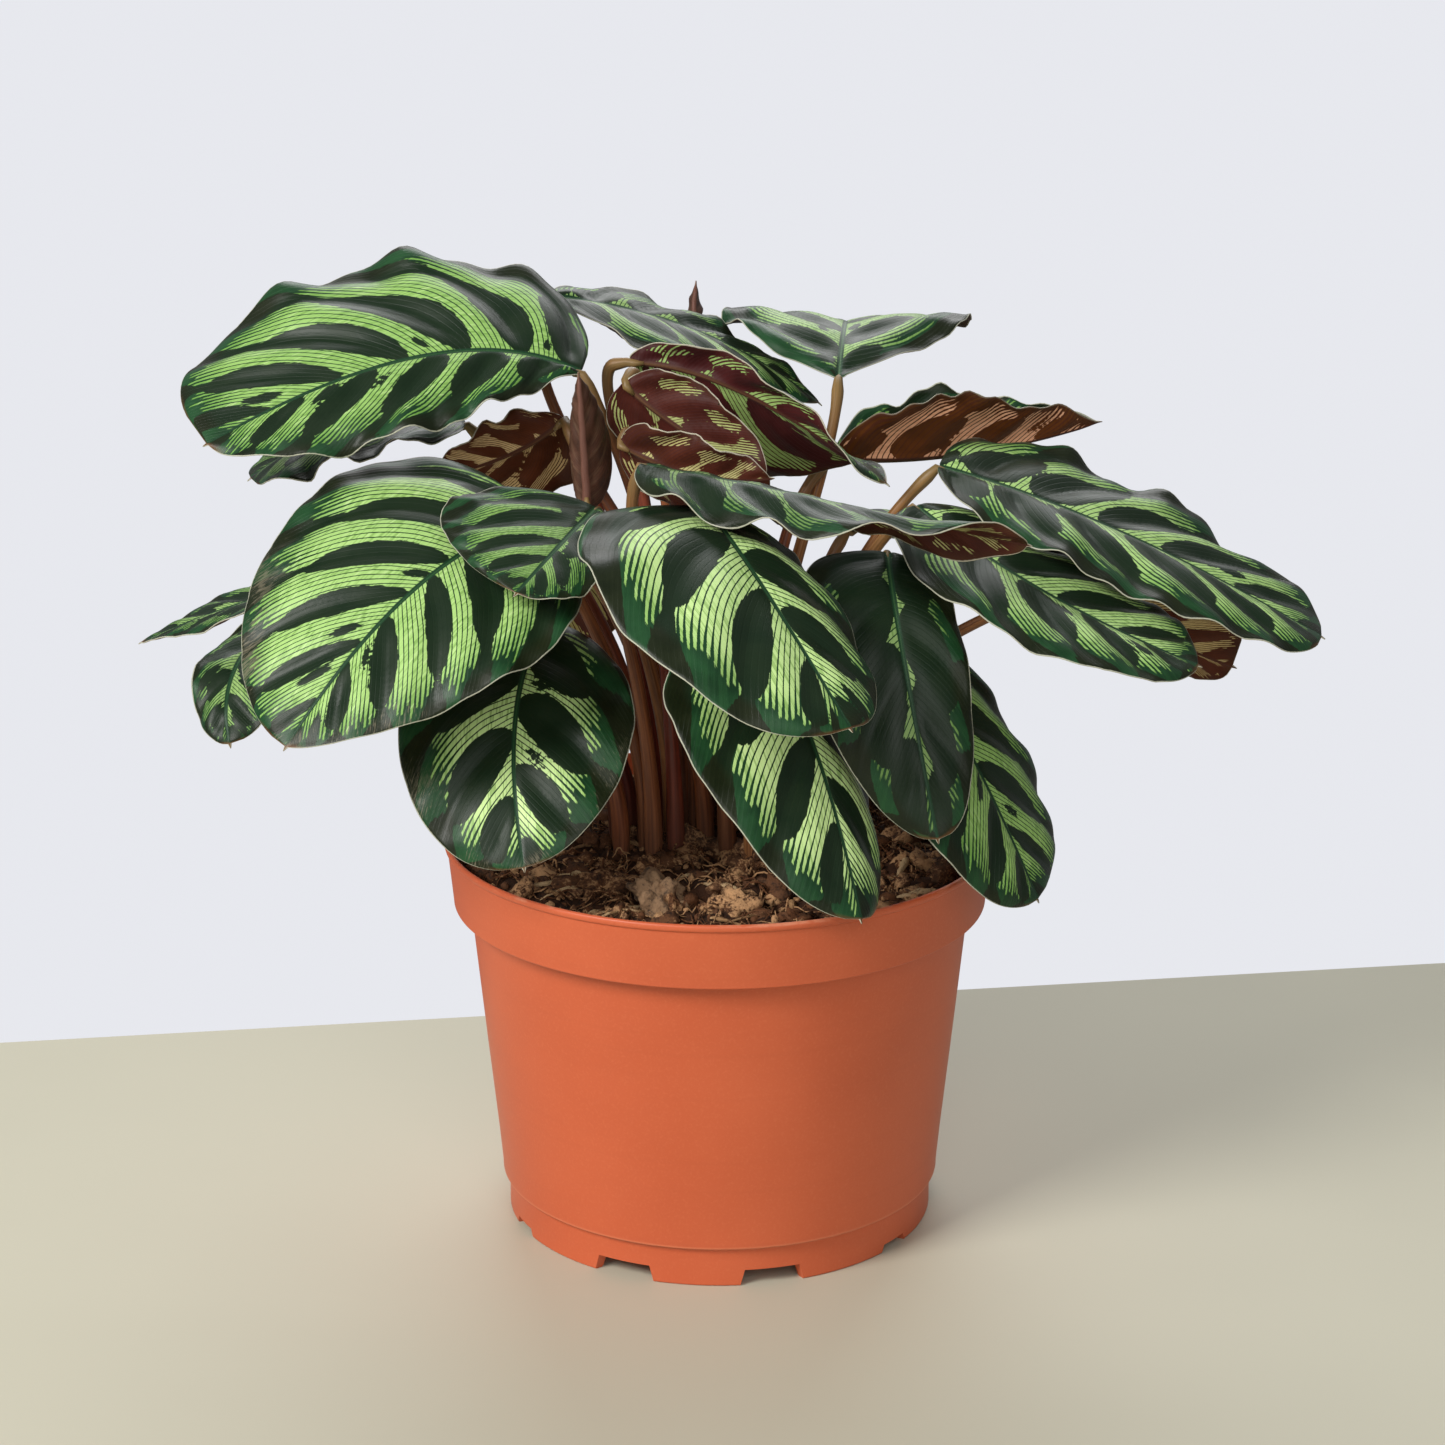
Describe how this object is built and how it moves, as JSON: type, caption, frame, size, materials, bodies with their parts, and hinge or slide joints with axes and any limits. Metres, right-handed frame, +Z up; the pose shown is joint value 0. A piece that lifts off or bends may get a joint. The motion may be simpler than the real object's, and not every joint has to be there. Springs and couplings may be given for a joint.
{
  "type": "potted calathea plant",
  "caption": "Peacock plant with waved, patterned leaves on slender stalks, rooted in potting mix in a round terracotta-coloured nursery pot with a stepped rim.",
  "frame": {"origin": "middle of the pot's foot, on the surface that the pot stands on", "axes": "+Z up along the pot's axis, -Y towards the front of the plant, +X to its right as seen from the front"},
  "size_m": [0.3244, 0.2118, 0.2649],
  "materials": {
    "pot_plastic": "satin terracotta-coloured moulded plastic with faint flow marks and scuffs",
    "potting_mix": "dark, coarse, dry peat and bark with fibres and pale chips",
    "leaf_blade": "waxy leaf skin, bright green bands between dark green ovals above, maroon underneath",
    "rolled_leaf": "rolled leaf with its brown and maroon underside outwards, softly glossy",
    "leaf_stalk": "smooth maroon-brown leaf stalk, satin, with fine lengthwise lines"
  },
  "bodies": {
    "root": {"leaf_01_blade": "leaf_blade", "leaf_01_stalk": "leaf_stalk", "leaf_02_blade": "leaf_blade", "leaf_02_stalk": "leaf_stalk", "leaf_03_blade": "leaf_blade", "leaf_03_stalk": "leaf_stalk", "leaf_04_blade": "leaf_blade", "leaf_04_stalk": "leaf_stalk", "leaf_05_blade": "leaf_blade", "leaf_05_stalk": "leaf_stalk", "leaf_06_blade": "leaf_blade", "leaf_06_stalk": "leaf_stalk", "leaf_07_blade": "leaf_blade", "leaf_07_stalk": "leaf_stalk", "leaf_08_blade": "leaf_blade", "leaf_08_stalk": "leaf_stalk", "leaf_09_blade": "leaf_blade", "leaf_09_stalk": "leaf_stalk", "leaf_10_blade": "leaf_blade", "leaf_10_stalk": "leaf_stalk", "leaf_11_blade": "leaf_blade", "leaf_11_stalk": "leaf_stalk", "leaf_12_blade": "leaf_blade", "leaf_12_stalk": "leaf_stalk", "leaf_13_blade": "leaf_blade", "leaf_13_stalk": "leaf_stalk", "leaf_14_blade": "leaf_blade", "leaf_14_stalk": "leaf_stalk", "leaf_15_blade": "leaf_blade", "leaf_15_stalk": "leaf_stalk", "leaf_16_blade": "leaf_blade", "leaf_16_stalk": "leaf_stalk", "leaf_17_blade": "leaf_blade", "leaf_17_stalk": "leaf_stalk", "leaf_18_blade": "leaf_blade", "leaf_18_stalk": "leaf_stalk", "leaf_19_blade": "leaf_blade", "leaf_19_stalk": "leaf_stalk", "leaf_20_blade": "leaf_blade", "leaf_20_stalk": "leaf_stalk", "leaf_21_blade": "leaf_blade", "leaf_21_stalk": "leaf_stalk", "leaf_22_blade": "leaf_blade", "leaf_22_stalk": "leaf_stalk", "leaf_23_blade": "leaf_blade", "leaf_23_stalk": "leaf_stalk", "leaf_24_blade": "leaf_blade", "leaf_24_stalk": "leaf_stalk", "leaf_25_blade": "leaf_blade", "leaf_25_stalk": "leaf_stalk", "leaf_26_blade": "leaf_blade", "leaf_26_stalk": "leaf_stalk", "pot": "pot_plastic", "rolled_leaf_01_blade": "rolled_leaf", "rolled_leaf_01_stalk": "leaf_stalk", "rolled_leaf_02_blade": "rolled_leaf", "rolled_leaf_02_stalk": "leaf_stalk", "soil": "potting_mix"}
  },
  "joints": []
}
